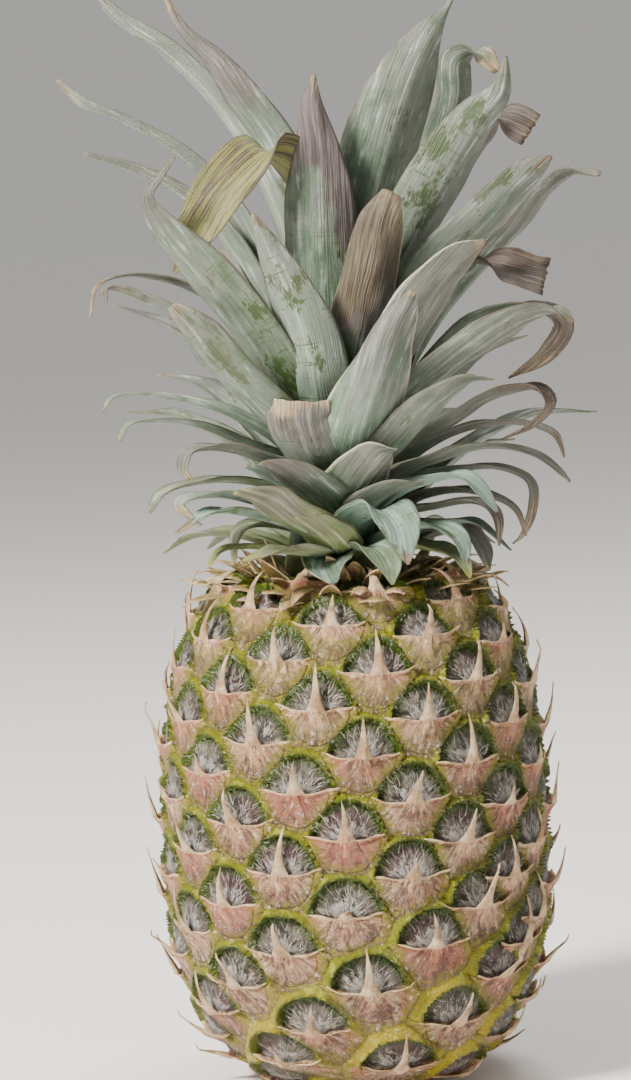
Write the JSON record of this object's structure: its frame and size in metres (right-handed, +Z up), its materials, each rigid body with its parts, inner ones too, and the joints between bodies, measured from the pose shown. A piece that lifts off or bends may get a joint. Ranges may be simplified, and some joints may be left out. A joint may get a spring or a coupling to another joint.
{
  "type": "pineapple",
  "caption": "Whole fresh pineapple standing on its cut base, with spiny eyes in spiral rows and a full crown of long leaves.",
  "frame": {"origin": "centre of the flat cut base, on the surface that the fruit stands on", "axes": "+Z up along the fruit's axis to the crown, -Y to the front, +X to the right seen from the front"},
  "size_m": [0.1733, 0.1541, 0.3506],
  "materials": {
    "skin": "glossy",
    "leaf": "satin",
    "stem": "satin",
    "stalk": "matte"
  },
  "bodies": {
    "root": {"fruit": "skin", "stalk_stub": "stalk", "crown_stem": "stem", "leaf_front_cut": "leaf", "leaf_front_curled": "leaf", "leaf_front_short": "leaf", "leaf_front_pale": "leaf", "leaf_left_large": "leaf", "leaf_left_broad": "leaf", "leaf_left_folded": "leaf", "leaf_middle_dark": "leaf", "leaf_middle_dried": "leaf", "leaf_top_large": "leaf", "leaf_top_behind": "leaf", "leaf_top_left_dark": "leaf", "leaf_top_left_pale": "leaf", "leaf_far_left_high": "leaf", "leaf_far_left_middle": "leaf", "leaf_right_large": "leaf", "leaf_right_cut_high": "leaf", "leaf_right_high": "leaf", "leaf_right_thin_cut": "leaf", "leaf_right_middle": "leaf", "leaf_right_flag": "leaf", "leaf_right_arched": "leaf", "leaf_right_folded": "leaf", "leaf_right_low": "leaf", "leaf_right_hooked": "leaf", "leaf_right_slender": "leaf", "leaf_right_long": "leaf", "leaf_right_drooping": "leaf", "leaf_right_small_a": "leaf", "leaf_right_small_b": "leaf", "leaf_right_small_c": "leaf", "leaf_right_grey": "leaf", "leaf_front_drooping": "leaf", "leaf_left_olive": "leaf", "leaf_front_olive": "leaf", "leaf_left_grey": "leaf", "leaf_left_white": "leaf", "leaf_left_long_a": "leaf", "leaf_left_long_b": "leaf", "leaf_left_hooked": "leaf", "leaf_left_arched": "leaf", "leaf_left_silver": "leaf", "leaf_far_left_low_a": "leaf", "leaf_far_left_low_b": "leaf", "leaf_back_1": "leaf", "leaf_back_2": "leaf", "leaf_back_3": "leaf", "leaf_back_4": "leaf", "leaf_back_5": "leaf", "leaf_back_6": "leaf", "leaf_back_7": "leaf", "leaf_back_8": "leaf", "leaf_back_9": "leaf", "leaf_back_10": "leaf", "leaf_back_11": "leaf", "leaf_back_12": "leaf", "leaf_back_13": "leaf"}
  },
  "joints": []
}
